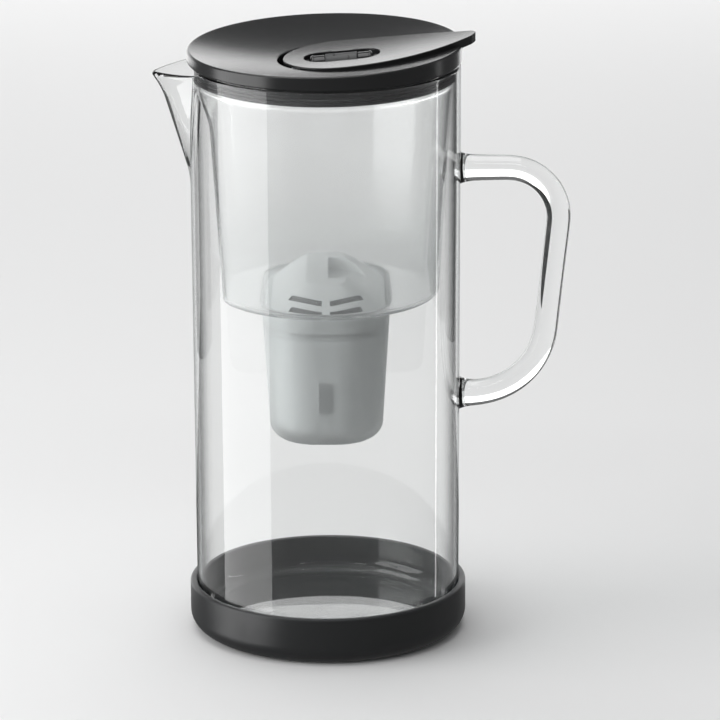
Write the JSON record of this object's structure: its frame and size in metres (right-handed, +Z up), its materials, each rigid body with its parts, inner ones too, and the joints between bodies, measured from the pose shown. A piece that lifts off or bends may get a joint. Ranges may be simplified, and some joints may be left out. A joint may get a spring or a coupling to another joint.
{
  "type": "water filter pitcher",
  "caption": "Glass water filter pitcher with a lift-out hopper, a filter cartridge in its well, and a lid with a flip flap over the fill opening.",
  "frame": {"origin": "on the jug's axis, in the plane that it stands on", "axes": "+Z up along the jug's axis, +X towards the handle, so the spout points along -X"},
  "size_m": [0.2011, 0.1338, 0.2953],
  "materials": {
    "glass": "polished",
    "clear_plastic": "clear, slightly grey",
    "frosted_plastic": "frosted, translucent",
    "black_rubber": "satin",
    "black_plastic": "satin",
    "grey_plastic": "matte",
    "white_plastic": "fine satin",
    "steel": "ground",
    "granules": "granular"
  },
  "bodies": {
    "jug": {"glass_jug": "glass", "glass_handle": "glass", "base_boot": "black_rubber"},
    "hopper": {"hopper_shell": "clear_plastic", "hopper_seal": "black_rubber", "cartridge_holder": "frosted_plastic"},
    "cartridge": {"cartridge_cup": "white_plastic", "cartridge_cap": "white_plastic", "cartridge_screens": "white_plastic", "filter_media": "granules"},
    "lid": {"lid_cover": "black_plastic", "lid_liner": "black_plastic", "flap_pin": "steel"},
    "flap": {"flap_cover": "black_plastic", "flap_liner": "black_plastic", "reminder_tray": "black_plastic"},
    "reminder": {"reminder_roller": "grey_plastic", "reminder_sleeves": "black_plastic", "reminder_ends": "black_plastic", "reminder_axle": "steel"}
  },
  "joints": [
    {"name": "hopper_lift", "type": "slide", "parent": "jug", "child": "hopper", "axis": [0, 0, 1], "range_m": [0, 0.2]},
    {"name": "cartridge_lift", "type": "slide", "parent": "hopper", "child": "cartridge", "axis": [0, 0, 1], "range_m": [0, 0.07]},
    {"name": "lid_lift", "type": "slide", "parent": "hopper", "child": "lid", "axis": [0, 0, 1], "range_m": [0, 0.06]},
    {"name": "flap_hinge", "type": "hinge", "parent": "lid", "child": "flap", "pos_m": [-0.0149, 0, 0.28123], "axis": [0, -1, 0], "range_deg": [0, 80]},
    {"name": "reminder_turn", "type": "hinge", "parent": "flap", "child": "reminder", "pos_m": [0.0082, 0, 0.28011], "axis": [0.9963, 0, 0.0863], "continuous": true}
  ]
}
